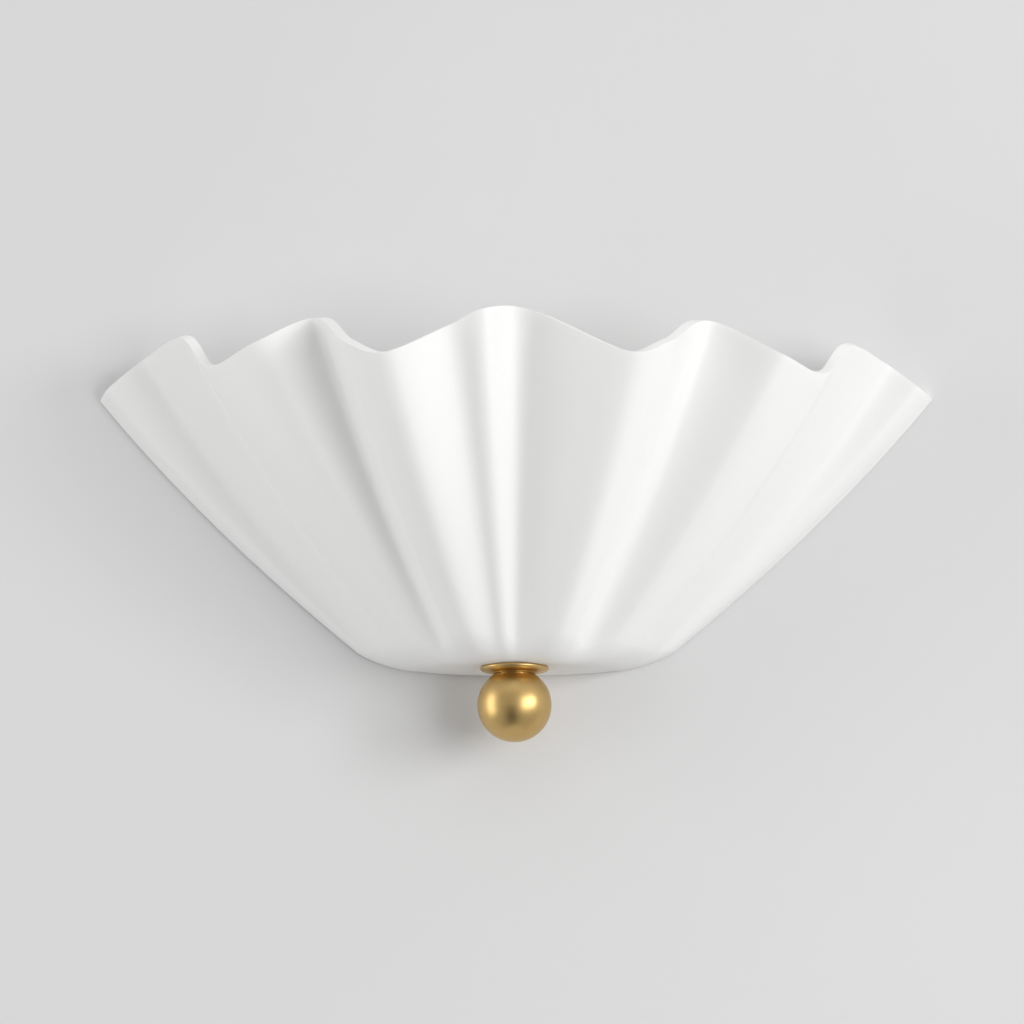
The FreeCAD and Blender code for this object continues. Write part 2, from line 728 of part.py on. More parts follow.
live_depth, neutral_depth = -pan_inside / 2 + half_pitch, -pan_inside / 2 - half_pitch
connector_x = d.connector_spacing / 2
piece(lead_pair(-half_pitch, grommet_z + half_pitch, live_depth, -connector_x), "live_leads")
piece(lead_pair(half_pitch, grommet_z - half_pitch, neutral_depth, connector_x), "neutral_leads")
piece(connector(-connector_x, live_depth), "live_connector")
piece(connector(connector_x, neutral_depth), "neutral_connector")


def grommet(x):
    bore, waist = half_pitch + d.lead_radius, d.grommet_radius
    flange = waist + d.grommet_flange
    far = d.grommet_flange + d.pan_sheet
    height = far + d.grommet_flange
    body = turned([(bore, 0), (flange, 0), (flange, d.grommet_flange), (waist, d.grommet_flange),
                   (waist, far), (flange, far), (flange, height), (bore, height)])
    return place(body, x, grommet_z, pan_inside - d.grommet_flange)


grommets = group(*[grommet(d.grommet_spacing / 2 * side) for name, side in sides])
piece(place(grommets, turn=OFF_WALL), "lead_grommets")


# Check every object, then write each piece to its own file

doc.recompute()
for thing in doc.Objects:
    if "Invalid" in thing.State or "Error" in thing.State:
        raise RuntimeError("%s did not compute: %s" % (thing.Label, thing.State))
os.makedirs("parts", exist_ok=True)
for thing in pieces:
    if thing.Shape.isNull() or not thing.Shape.isValid() or not thing.Shape.Solids:
        raise RuntimeError("%s is not a sound solid" % thing.Label)
    thing.Shape.exportStep("parts/%s.step" % thing.Label)
    print("%-22s %d solid(s) %10.1f mm3" % (thing.Label, len(thing.Shape.Solids), thing.Shape.Volume))
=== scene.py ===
import math

import bmesh
import bpy
from mathutils import Matrix, Vector


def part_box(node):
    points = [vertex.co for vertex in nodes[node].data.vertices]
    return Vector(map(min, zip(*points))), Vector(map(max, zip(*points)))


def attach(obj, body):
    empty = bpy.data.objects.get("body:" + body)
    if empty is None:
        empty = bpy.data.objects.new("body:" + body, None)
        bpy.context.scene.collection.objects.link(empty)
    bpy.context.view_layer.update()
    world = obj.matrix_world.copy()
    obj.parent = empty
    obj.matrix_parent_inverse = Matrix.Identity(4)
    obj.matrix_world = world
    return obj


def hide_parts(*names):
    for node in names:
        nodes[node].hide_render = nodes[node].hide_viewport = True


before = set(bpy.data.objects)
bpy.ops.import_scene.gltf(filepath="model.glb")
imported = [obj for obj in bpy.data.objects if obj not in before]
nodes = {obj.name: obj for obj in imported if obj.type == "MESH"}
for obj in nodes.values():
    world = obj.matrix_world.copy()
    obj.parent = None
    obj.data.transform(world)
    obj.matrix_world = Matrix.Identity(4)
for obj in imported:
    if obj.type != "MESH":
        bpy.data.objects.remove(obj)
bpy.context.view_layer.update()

scene = bpy.context.scene


# The room: a pale plastered wall that the sconce hangs on, with the round hole of its wall box, and a pale floor
# well below. Both are one-sided, so the back of the sconce can be looked at through the wall.

wall_radius, floor_radius, wall_box_radius = 7.0, 0.6, 0.044
wall_clearance, floor_level = 0.0006, -1.6
plaster_light, plaster_dark = (0.78, 0.78, 0.78), (0.755, 0.755, 0.755)


class Signal:
    """A shader socket. Sums on it add Math nodes, and node() adds any other kind."""

    def __init__(self, tree, socket):
        self.tree = tree
        self.socket = socket

    def node(self, kind, settings=None, inputs=None, output=0):
        made = self.tree.nodes.new("ShaderNode" + kind)
        for name, value in (settings or {}).items():
            setattr(made, name, value)
        for name, value in (inputs or {}).items():
            self.feed(value, made.inputs[name])
        return Signal(self.tree, made.outputs[output])

    def feed(self, value, socket):
        if isinstance(value, Signal):
            self.tree.links.new(value.socket, socket)
        else:
            socket.default_value = value

    def math(self, operation, first, second):
        return self.node("Math", {"operation": operation}, {0: first, 1: second})

    def __add__(self, other):
        return self.math("ADD", self, other)

    __radd__ = __add__

    def __mul__(self, other):
        return self.math("MULTIPLY", self, other)

    __rmul__ = __mul__


def finish(name, constants):
    """A new material with its shader's constant values set, its shader, and its Object coordinates."""
    material = bpy.data.materials.new(name)
    material.use_nodes = True
    tree = material.node_tree
    shader = tree.nodes["Principled BSDF"]
    for socket, value in constants.items():
        shader.inputs[socket].default_value = value
    place = Signal(tree, tree.nodes.new("ShaderNodeTexCoord").outputs["Object"])
    return material, shader, place


def clouds(place, scale, detail=3.0, stretch=(1, 1, 1)):
    """A cloudy pattern in the object's own coordinates, with that many clouds to the metre."""
    stretched = place.node("Mapping", inputs={"Vector": place, "Scale": stretch})
    return place.node("TexNoise", inputs={"Vector": stretched, "Scale": scale, "Detail": detail})


def between(share, first, second):
    """A colour between two others."""
    return share.node("Mix", {"data_type": "RGBA"},
                      {"Factor": share, "A": (*first, 1), "B": (*second, 1)}, output="Result")


def one_sided(shader, place):
    """Lets the eye and the light through the back of a stage surface."""
    behind = place.node("NewGeometry", output="Backfacing")
    clear = place.node("BsdfTransparent")
    mix = place.node("MixShader", inputs={0: behind, 1: Signal(place.tree, shader.outputs[0]), 2: clear})
    place.feed(mix, place.tree.nodes["Material Output"].inputs["Surface"])


def stage_disc(name, mesh, matrix, material):
    bmesh.ops.transform(mesh, matrix=matrix, verts=mesh.verts)
    data = bpy.data.meshes.new(name)
    mesh.to_mesh(data)
    mesh.free()
    data.materials.append(material)
    disc = bpy.data.objects.new(name, data)
    scene.collection.objects.link(disc)


plaster, plaster_shader, place = finish("plaster", {"Roughness": 0.9, "Specular IOR Level": 0.1})
place.feed(between(clouds(place, 7.0, 5.0), plaster_light, plaster_dark), plaster_shader.inputs["Base Color"])
one_sided(plaster_shader, place)

wall = bmesh.new()
bmesh.ops.create_circle(wall, segments=96, radius=wall_radius)
bmesh.ops.create_circle(wall, segments=96, radius=wall_box_radius)
bmesh.ops.bridge_loops(wall, edges=wall.edges[:])
wall.normal_update()
bmesh.ops.reverse_faces(wall, faces=[face for face in wall.faces if face.normal.z < 0])
off_wall = Matrix.Rotation(math.radians(90), 4, "X")
stage_disc("wall", wall, Matrix.Translation((0, wall_clearance, 0)) @ off_wall, plaster)
floor = bmesh.new()
bmesh.ops.create_circle(floor, cap_ends=True, segments=96, radius=floor_radius)
stage_disc("floor", floor, Matrix.Translation((0, 0, floor_level)), plaster)


# The studio: two soft lights to the right of the camera, one farther round than the other, and a third far round
# to the left, in a pale surround that is brighter overhead and dark below the middle. A light's level is the
# brightness that it gives to a white sheet facing it.

side_glow, top_glow, dark_glow = 0.50, 0.95, 0.03
dark_shift, dark_inner, dark_outer = 0.12, 0.14, 0.36
dark_below, lit_above = -0.3, -0.05
top_from, top_full = 0.35, 0.9


def softbox(name, azimuth, elevation, distance, size, level):
    turn, lift = math.radians(azimuth), math.radians(elevation)
    towards = Vector((math.sin(turn) * math.cos(lift), -math.cos(turn) * math.cos(lift), math.sin(lift)))
    lamp = bpy.data.lights.new(name, "AREA")
    lamp.shape = "RECTANGLE"
    lamp.size, lamp.size_y = size
    lamp.energy = level * (math.pi * distance) ** 2
    light = bpy.data.objects.new(name, lamp)
    light.location = towards * distance
    light.rotation_euler = towards.to_track_quat("Z", "Y").to_euler()
    scene.collection.objects.link(light)


def ramp(value, low, high):
    """Rises smoothly from 0 to 1 while the value goes from low to high."""
    return value.node("MapRange", {"interpolation_type": "SMOOTHSTEP"},
                      {"Value": value, "From Min": low, "From Max": high})


softbox("key_light", azimuth=37, elevation=-1, distance=3.6, size=(1.4, 2.0), level=0.29)
softbox("side_light", azimuth=57, elevation=6, distance=3.6, size=(0.8, 1.4), level=0.26)
softbox("fill_light", azimuth=-80, elevation=0, distance=3.6, size=(2.2, 3.2), level=0.42)
scene.world = bpy.data.worlds.new("surround")
scene.world.use_nodes = True
surround = scene.world.node_tree
heading = Signal(surround, surround.nodes.new("ShaderNodeTexCoord").outputs["Generated"])
across, up = [heading.node("SeparateXYZ", inputs={0: heading}, output=axis) for axis in ("X", "Z")]
beside = ramp(heading.math("ABSOLUTE", across + dark_shift, 0), dark_inner, dark_outer)
lit = heading.math("MAXIMUM", beside, ramp(up, dark_below, lit_above))
glow = dark_glow + (side_glow - dark_glow) * lit + (top_glow - side_glow) * ramp(up, top_from, top_full)
surround.nodes["Background"].inputs["Color"].default_value = (1, 1, 1, 1)
heading.feed(glow, surround.nodes["Background"].inputs["Strength"])
scene.view_settings.view_transform = "Standard"


# The camera stands below the sconce and a little to its right, far back, and looks up at it.

camera_place = Vector((0.0603, -3.27, -0.508))
looked_at = Vector((-0.0016, 0.0, 0.0087))
focal_length_mm = 266.7
lens = bpy.data.cameras.new("camera")
lens.lens = focal_length_mm
camera = bpy.data.objects.new("camera", lens)
camera.location = camera_place
camera.rotation_euler = (looked_at - camera_place).to_track_quat("-Z", "Y").to_euler()
scene.collection.objects.link(camera)
scene.camera = camera


# The mounting strap: a strip of zinc-plated steel with slots for the two screws of the wall box. Two threaded
# studs stand on it for the pan, each with a brass cap nut, and a green screw takes the earth wire.

screw_radius, screw_tooth, screw_pitch = 0.002, 0.0003, 0.0007
screw_head_radius, screw_head_height = 0.0036, 0.0022
nut_radius, nut_bore, nut_height, nut_rounding = 0.004, 0.00205, 0.0032, 0.00025
strap_thickness, earth_screw_z = 0.002, -0.0045


def mottled(name, light, dark, scale, roughness, bump=0.0, stretch=(1, 1, 1), constants=None):
    """A finish whose colour, gloss and skin wander with one cloudy pattern."""
    material, shader, place = finish(name, constants or {})
    pattern = clouds(place, scale, 4.0, stretch)
    place.feed(between(pattern, light, dark), shader.inputs["Base Color"])
    smooth, rough = roughness
    place.feed(smooth + (rough - smooth) * pattern, shader.inputs["Roughness"])
    skin = place.node("Bump", inputs={"Strength": bump, "Distance": 0.0003, "Height": pattern})
    place.feed(skin, shader.inputs["Normal"])
    return material


def dress(material, *names):
    """Gives a finish to nodes that are shown in their own shape."""
    for name in names:
        for slot in nodes[name].material_slots:
            slot.material = material


def as_piece(name, mesh, body, material, slot, *replaced, rounding=0.0):
    """Turns a finished mesh into a piece that rides on a body in place of the nodes that it stands for."""
    sharp_from = math.radians(40)
    bmesh.ops.recalc_face_normals(mesh, faces=mesh.faces)
    data = bpy.data.meshes.new(name)
    mesh.to_mesh(data)
    mesh.free()
    data.materials.append(material)
    data.shade_smooth()
    data.set_sharp_from_angle(angle=sharp_from)
    piece = bpy.data.objects.new(name, data)
    scene.collection.objects.link(piece)
    if rounding:
        edge = piece.modifiers.new("rounding", "BEVEL")
        edge.width = rounding
        edge.segments = 3
        edge.limit_method = "ANGLE"
        edge.angle_limit = sharp_from
        edge.harden_normals = True
    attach(piece, body)
    if replaced:
        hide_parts(*replaced)
    return piece


def chain(mesh, spots):
    """A few vertices joined by edges, as the start of a spun shape."""
    verts = [mesh.verts.new(spot) for spot in spots]
    edges = [mesh.edges.new(pair) for pair in zip(verts, verts[1:])]
    return verts + edges


def everything(mesh):
    return mesh.verts[:] + mesh.edges[:] + mesh.faces[:]


def new_verts(result):
    return [item for item in result["geom"] if isinstance(item, bmesh.types.BMVert)]


def open_edges(mesh):
    return [edge for edge in mesh.edges if edge.is_boundary]


def cut_to(mesh, low, high):
    """Cuts a shape off square below one height and above another."""
    for height, up in ((low, -1), (high, 1)):
        bmesh.ops.bisect_plane(mesh, geom=everything(mesh), plane_co=(0, 0, height), plane_no=(0, 0, up),
                               clear_outer=True)


def threaded(radius, tooth, pitch, low, high, steps=20):
    """A threaded rod along z: one tooth's outline wound up past both ends, then cut off and closed."""
    mesh = bmesh.new()
    root = radius - tooth
    outline = [(root, -1.0), (radius, -0.6), (radius, -0.5), (root, -0.1), (root, 0.0)]
    turns = math.ceil((high - low) / pitch) + 2
    bmesh.ops.spin(mesh, geom=chain(mesh, [(across, 0, low + pitch * up) for across, up in outline]),
                   cent=(0, 0, 0), axis=(0, 0, 1), dvec=(0, 0, pitch / steps), angle=2 * math.pi * turns,
                   steps=steps * turns)
    bmesh.ops.remove_doubles(mesh, verts=mesh.verts, dist=1e-5)
    cut_to(mesh, low, high)
    bmesh.ops.holes_fill(mesh, edges=open_edges(mesh))
    return mesh


def hex_nut(radius, bore, height):
    """A hexagon nut: the ring between a hexagon and its bore, pushed up to its height."""
    mesh = bmesh.new()
    corner_on_x = Matrix.Rotation(math.radians(30), 4, "Z")
    bmesh.ops.create_circle(mesh, segments=6, radius=radius, matrix=corner_on_x)
    bmesh.ops.subdivide_edges(mesh, edges=mesh.edges[:], cuts=5)
    bmesh.ops.create_circle(mesh, segments=36, radius=bore, matrix=corner_on_x)
    bmesh.ops.bridge_loops(mesh, edges=mesh.edges[:])
    pushed = bmesh.ops.extrude_face_region(mesh, geom=mesh.faces[:])
    bmesh.ops.translate(mesh, vec=(0, 0, height), verts=new_verts(pushed))
    return mesh


def ball_part(radius, low, high, segments=64):
    """The part of a ball between two heights from its middle, open where it is cut."""
    mesh = bmesh.new()
    bmesh.ops.create_uvsphere(mesh, u_segments=segments, v_segments=segments // 2, radius=radius)
    cut_to(mesh, low, high)
    return mesh


def turned(spots, steps=96):
    """A lathe-turned shape round z: the spots give radius and height."""
    mesh = bmesh.new()
    bmesh.ops.spin(mesh, geom=chain(mesh, [(radius, 0, height) for radius, height in spots]), cent=(0, 0, 0),
                   axis=(0, 0, 1), angle=2 * math.pi, steps=steps, use_merge=True)
    bmesh.ops.remove_doubles(mesh, verts=mesh.verts, dist=1e-6)
    return mesh


def screw(head_radius, head_height, radius, length):
    """A screw along z with its head above z = 0: a low dome with a cross recess pressed into it."""
    mesh = turned([(0, 0), (head_radius, 0), (head_radius, 0.35 * head_height),
                   (0.86 * head_radius, 0.72 * head_height), (0.5 * head_radius, 0.95 * head_height),
                   (0, head_height)], steps=48)
    arm, reach = 0.12 * head_radius, 0.55 * head_radius
    for across in ((1, 0, 0), (0, 1, 0)):
        for offset in (-reach, -arm, arm, reach):
            bmesh.ops.bisect_plane(mesh, geom=everything(mesh), plane_co=Vector(across) * offset,
                                   plane_no=across)
    pressed = []
    for face in mesh.faces:
        spot = face.calc_center_median()
        narrow, wide = sorted((abs(spot.x), abs(spot.y)))
        if spot.z > 0.4 * head_height and narrow < arm and wide < reach:
            pressed.append(face)
    recess = bmesh.ops.extrude_face_region(mesh, geom=pressed)
    bmesh.ops.translate(mesh, vec=(0, 0, -0.4 * head_height), verts=new_verts(recess))
    absorb(mesh, threaded(radius, screw_tooth, screw_pitch, -length, 0))
    return mesh


def absorb(mesh, other):
    """Adds another shape to a mesh."""
    data = bpy.data.meshes.new("part")
    other.to_mesh(data)
    other.free()
    mesh.from_mesh(data)
    bpy.data.meshes.remove(data)


def spread(mesh, matrix, shifts=()):
    """Moves a shape into place and copies it to each further place."""
    bmesh.ops.transform(mesh, matrix=matrix, verts=mesh.verts)
    first = everything(mesh)
    for shift in shifts:
        copy = bmesh.ops.duplicate(mesh, geom=first)
        bmesh.ops.translate(mesh, vec=shift, verts=new_verts(copy))
    return mesh


zinc = mottled("zinc_plate", (0.66, 0.66, 0.645), (0.56, 0.565, 0.57), 420.0, (0.26, 0.44), bump=0.08,
               constants={"Metallic": 1.0})
cast_brass = mottled("nut_brass", (0.74, 0.54, 0.27), (0.64, 0.45, 0.2), 600.0, (0.2, 0.34),
                     constants={"Metallic": 1.0})
earth_green = mottled("earth_green", (0.12, 0.40, 0.18), (0.08, 0.31, 0.14), 700.0, (0.3, 0.46),
                      constants={"Metallic": 0.35})
dress(zinc, "mounting_strap")

stud_low, stud_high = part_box("strap_studs")
strap_stud_gap = stud_high.x - stud_low.x - 2 * screw_radius
strap_studs = threaded(screw_radius, screw_tooth, screw_pitch, -stud_high.y, -stud_low.y)
spread(strap_studs, Matrix.Translation((-strap_stud_gap / 2, 0, 0)) @ off_wall, [(strap_stud_gap, 0, 0)])
as_piece("strap_stud_rods", strap_studs, "fixture", zinc, "zinc_steel", "strap_studs")

cap_low, cap_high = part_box("cap_nuts")
dome_radius = cap_high.y - cap_low.y - nut_height
cap_nuts = hex_nut(nut_radius, nut_bore, nut_height)
dome = ball_part(dome_radius, 0, dome_radius)
bmesh.ops.translate(dome, vec=(0, 0, nut_height), verts=dome.verts)
absorb(cap_nuts, dome)
spread(cap_nuts, Matrix.Translation((-strap_stud_gap / 2, cap_high.y, 0)) @ off_wall, [(strap_stud_gap, 0, 0)])
as_piece("domed_cap_nuts", cap_nuts, "fixture", cast_brass, "brass", "cap_nuts", rounding=nut_rounding)

earth_screw = screw(screw_head_radius, screw_head_height, screw_radius, strap_thickness)
spread(earth_screw, Matrix.Translation((0, -strap_thickness, earth_screw_z)) @ off_wall)
as_piece("earth_screw", earth_screw, "fixture", earth_green, "green_paint", "ground_screw")


# The wall pan: a shallow pan spun from sheet steel and powder-coated white. It covers the wall box and is held
# to the strap by the two cap nuts.

powder_coat = mottled("powder_coat", (0.87, 0.87, 0.86), (0.84, 0.84, 0.83), 1400.0, (0.4, 0.5), bump=0.12)
dress(powder_coat, "wall_pan")


# The bracket: a strip of zinc-plated steel bent to a right angle. Its leg is screwed to the pan with two machine
# screws and nuts, and the shade hangs on its foot over a rubber cushion.

bracket_screw_length, leg_face = 0.0069, -0.0165
screw_low, screw_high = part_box("bracket_screws")
upper_screw_z = screw_high.z - screw_head_radius
screw_drop = screw_low.z + screw_head_radius - upper_screw_z
dress(zinc, "shade_bracket")

bracket_screws = screw(screw_head_radius, screw_head_height, screw_radius, bracket_screw_length)
spread(bracket_screws, Matrix.Translation((0, leg_face, upper_screw_z)) @ off_wall, [(0, 0, screw_drop)])
as_piece("bracket_screw_pair", bracket_screws, "fixture", zinc, "zinc_steel", "bracket_screws")

bracket_nuts = hex_nut(nut_radius, nut_bore, nut_height)
nut_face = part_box("bracket_nuts")[1].y
spread(bracket_nuts, Matrix.Translation((0, nut_face, upper_screw_z)) @ off_wall, [(0, 0, screw_drop)])
as_piece("bracket_nut_pair", bracket_nuts, "fixture", zinc, "zinc_steel", "bracket_nuts", rounding=nut_rounding)


# The stud: threaded steel pipe through the bracket's foot and the lamp bar, with a nut on the foot and one nut
# under and one over the bar. A black rubber cushion and a thin gasket keep the steel and brass off the glaze.

stud_y = -0.028
stud_radius, stud_tooth, stud_pitch = 0.0048, 0.0004, 0.000941
pipe_nut_radius, pipe_nut_bore, pipe_nut_height, pipe_nut_rounding = 0.0081, 0.00485, 0.004, 0.0004

rod_low, rod_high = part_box("finial_stud")
rod = threaded(stud_radius, stud_tooth, stud_pitch, rod_low.z, rod_high.z)
spread(rod, Matrix.Translation((0, stud_y, 0)))
as_piece("threaded_stud", rod, "fixture", zinc, "zinc_steel", "finial_stud")

foot_nut = hex_nut(pipe_nut_radius, pipe_nut_bore, pipe_nut_height)
spread(foot_nut, Matrix.Translation((0, stud_y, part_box("foot_nut")[0].z)))
as_piece("foot_hex_nut", foot_nut, "fixture", zinc, "zinc_steel", "foot_nut", rounding=pipe_nut_rounding)

bar_nut_low, bar_nut_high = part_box("bar_nuts")
bar_nuts = hex_nut(pipe_nut_radius, pipe_nut_bore, pipe_nut_height)
spread(bar_nuts, Matrix.Translation((0, stud_y, bar_nut_low.z)),
       [(0, 0, bar_nut_high.z - bar_nut_low.z - pipe_nut_height)])
as_piece("bar_hex_nuts", bar_nuts, "fixture", zinc, "zinc_steel", "bar_nuts", rounding=pipe_nut_rounding)

rubber = mottled("black_rubber", (0.05, 0.05, 0.05), (0.032, 0.032, 0.032), 900.0, (0.62, 0.82), bump=0.1)
dress(rubber, "cushion_washer", "collar_gasket")


# The lamp bar: a flat zinc-plated strip across the stud. Four small screws come up through it into the
# lampholders.

dress(zinc, "lamp_bar")
tap_head_radius, tap_head_height, tap_radius, tap_length = 0.0026, 0.00168, 0.0014, 0.008
bar_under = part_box("lamp_bar")[0].z
tap_low, tap_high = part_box("holder_screws")
tap_gap = 0.016
tap_span = tap_high.x - tap_low.x - 2 * tap_head_radius
holder_screws = screw(tap_head_radius, tap_head_height, tap_radius, tap_length)
facing_down = Matrix.Rotation(math.radians(180), 4, "X")
spread(holder_screws, Matrix.Translation((-tap_span / 2, stud_y, bar_under)) @ facing_down,
       [(tap_gap, 0, 0), (tap_span - tap_gap, 0, 0), (tap_span, 0, 0)])
as_piece("holder_screw_set", holder_screws, "fixture", zinc, "zinc_steel", "holder_screws")


# The lampholders: cups of white steatite porcelain with two turned grooves, each holding a nickel-plated screw
# sleeve and, on the floor of the cup, a sprung brass contact.

holder_radius, holder_lead_hole, holder_bore = 0.0115, 0.0036, 0.00675
holder_floor, holder_height, holder_rounding, groove_depth = 0.007, 0.028, 0.0005, 0.0005
groove = ((0.0, 0.0), (groove_depth, 0.0003), (groove_depth, 0.0011), (0.0, 0.0014))
groove_heights = (0.0045, 0.0215)

porcelain = mottled("porcelain", (0.9, 0.89, 0.86), (0.85, 0.84, 0.8), 160.0, (0.3, 0.42), bump=0.04,
                    constants={"Coat Weight": 0.25, "Coat Roughness": 0.2})
nickel = mottled("nickel_plate", (0.74, 0.72, 0.68), (0.64, 0.62, 0.58), 800.0, (0.16, 0.3),
                 constants={"Metallic": 1.0})
for side in ("left", "right"):
    low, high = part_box("holder_body_" + side)
    grooves = [(holder_radius - depth, start + rise) for start in groove_heights for depth, rise in groove]
    cup = turned([(holder_lead_hole, 0), (holder_radius, 0), *grooves, (holder_radius, holder_height),
                  (holder_bore, holder_height), (holder_bore, holder_floor), (holder_lead_hole, holder_floor),
                  (holder_lead_hole, 0)])
    spread(cup, Matrix.Translation(((low.x + high.x) / 2, stud_y, low.z)))
    as_piece("porcelain_holder_" + side, cup, "fixture", porcelain, "porcelain", "holder_body_" + side,
             rounding=holder_rounding)
    dress(nickel, "holder_sleeve_" + side)
    dress(cast_brass, "holder_contact_" + side)


# The lamps: small round opal globes, each blown into a neck and cemented in a nickel-plated candelabra screw cap
# with a drop of solder at its end. They screw down into the lampholders.

globe_radius, globe_neck_radius, glass_wall = 0.017, 0.0055, 0.0008
neck_rings, smoothing_rounds = 5, 8
cap_radius, cap_tooth, cap_pitch = 0.00595, 0.0005, 0.00254
tip_radius, tip_height = 0.0024, 0.002

opal = mottled("opal_glass", (0.94, 0.935, 0.91), (0.9, 0.895, 0.87), 60.0, (0.1, 0.16),
               constants={"Coat Weight": 0.5, "Coat Roughness": 0.05})
solder = mottled("solder", (0.6, 0.6, 0.58), (0.45, 0.45, 0.44), 900.0, (0.3, 0.5), bump=0.2,
                 constants={"Metallic": 0.9})


def drawn_on(mesh, rise, widen=1.0):
    """Draws the open end of a round shape on by a height, and in or out by a factor."""
    drawn = new_verts(bmesh.ops.extrude_edge_only(mesh, edges=open_edges(mesh)))
    bmesh.ops.scale(mesh, vec=(widen, widen, 1), verts=drawn)
    bmesh.ops.translate(mesh, vec=(0, 0, rise), verts=drawn)


for side in ("left", "right"):
    cap_low, cap_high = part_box("bulb_cap_" + side)
    glass_low, glass_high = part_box("bulb_glass_" + side)
    lamp_x = (cap_low.x + cap_high.x) / 2
    globe_z = glass_high.z - globe_radius
    neck_drop = math.sqrt(globe_radius ** 2 - globe_neck_radius ** 2)
    neck_length = globe_z - neck_drop - glass_low.z
    globe = ball_part(globe_radius, -neck_drop, globe_radius, segments=96)
    for ring in range(neck_rings):
        drawn_on(globe, -neck_length / neck_rings)
    bend = [v for v in globe.verts if -neck_drop - neck_length / 2 < v.co.z < -neck_drop + globe_neck_radius / 2]
    for smoothing in range(smoothing_rounds):
        bmesh.ops.smooth_vert(globe, verts=bend, factor=0.5, use_axis_x=True, use_axis_y=True, use_axis_z=True)
    bmesh.ops.recalc_face_normals(globe, faces=globe.faces)
    spread(globe, Matrix.Translation((lamp_x, stud_y, globe_z)))
    glass = as_piece("opal_globe_" + side, globe, "bulb_" + side, opal, "opal_glass", "bulb_glass_" + side)
    thickness = glass.modifiers.new("glass", "SOLIDIFY")
    thickness.thickness = glass_wall
    thickness.offset = -1

    cap = threaded(cap_radius, cap_tooth, cap_pitch, 0, cap_high.z - cap_low.z, steps=64)
    spread(cap, Matrix.Translation((lamp_x, stud_y, cap_low.z)))
    as_piece("screw_cap_" + side, cap, "bulb_" + side, nickel, "nickel", "bulb_cap_" + side)

    tip = turned([(0, 0), (0.5 * tip_radius, 0.06 * tip_height), (0.86 * tip_radius, 0.35 * tip_height),
                  (tip_radius, 0.75 * tip_height), (tip_radius, tip_height), (0, tip_height)], steps=32)
    spread(tip, Matrix.Translation((lamp_x, stud_y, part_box("bulb_tip_" + side)[0].z)))
    as_piece("solder_tip_" + side, tip, "bulb_tip_" + side, solder, "solder", "bulb_tip_" + side)


# The wiring: a black and a white lead from each lampholder, through a rubber grommet into the pan, where the two
# of one colour are twisted together under a ribbed orange cap.

black_cable = mottled("black_cable", (0.045, 0.045, 0.045), (0.03, 0.03, 0.03), 500.0, (0.38, 0.5))
white_cable = mottled("white_cable", (0.84, 0.84, 0.81), (0.78, 0.78, 0.74), 500.0, (0.38, 0.5))
orange_cap = mottled("orange_plastic", (0.84, 0.35, 0.06), (0.74, 0.28, 0.04), 500.0, (0.32, 0.42), bump=0.05)
dress(black_cable, "live_leads")
dress(white_cable, "neutral_leads")
dress(rubber, "lead_grommets")

rib_count, rib_cut, rib_rounding, cap_taper = 16, 0.88, 0.0003, 0.75
for colour in ("live", "neutral"):
    low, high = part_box(colour + "_connector")
    mouth_radius, length = (high.x - low.x) / 2, high.z - low.z
    ribbed = bmesh.new()
    bmesh.ops.create_cone(ribbed, cap_ends=True, segments=2 * rib_count, radius1=mouth_radius,
                          radius2=mouth_radius * cap_taper, depth=length)
    for v in ribbed.verts:
        step = round(math.atan2(v.co.y, v.co.x) / math.pi * rib_count)
        if step % 2:
            v.co.xy *= rib_cut
    middle = (low + high) / 2
    spread(ribbed, Matrix.Translation(middle))
    as_piece(colour + "_twist_cap", ribbed, "fixture", orange_cap, "orange_plastic", colour + "_connector",
             rounding=rib_rounding)


# The shade: one slip-cast ceramic wall under a white satin glaze, folded out and in around half a bowl, with its
# back edges against the wall, a floor that rises a little at the sides and a rounded lip. It hangs on the
# bracket's foot.

shade_half_width, shade_reach, shade_height = 0.182, 0.108, 0.1474
wall_bulge, base_half_width, base_reach, foot_fold = 0.0066, 0.0565, 0.052, 0.4
floor_half_width, floor_reach, floor_rise = 0.042, 0.039, 0.0018
shade_wall, underside, lip_round = 0.004, -0.0634, 0.0009
floor_rows, corner_rows, wall_rows, columns = 6, 12, 48, 420

# The rim runs through these spots from fold to fold. Each has its angle around the foot, and its place across,
# out from the wall and up, as shares of the half width, the reach and the height.
rim_folds = (
    (-90, (-1.000, 0.000, 0.826)), (-84, (-0.972, 0.090, 0.859)), (-75, (-0.888, 0.120, 0.938)),
    (-64, (-0.793, 0.370, 0.966)), (-55, (-0.725, 0.460, 0.869)), (-43, (-0.612, 0.610, 0.920)),
    (-30, (-0.472, 0.555, 1.000)), (-23, (-0.395, 0.830, 0.896)), (-15, (-0.298, 0.980, 0.842)),
    (-7, (-0.145, 0.880, 0.935)), (-3, (-0.067, 0.890, 0.981)), (2, (0.044, 0.800, 0.989)),
    (15, (0.268, 0.980, 0.844)), (23, (0.377, 0.840, 0.893)), (30, (0.464, 0.555, 0.988)),
    (43, (0.635, 0.610, 0.882)), (55, (0.736, 0.465, 0.842)), (64, (0.803, 0.370, 0.934)),
    (75, (0.884, 0.120, 0.919)), (84, (0.970, 0.090, 0.845)), (90, (1.000, 0.000, 0.822)))


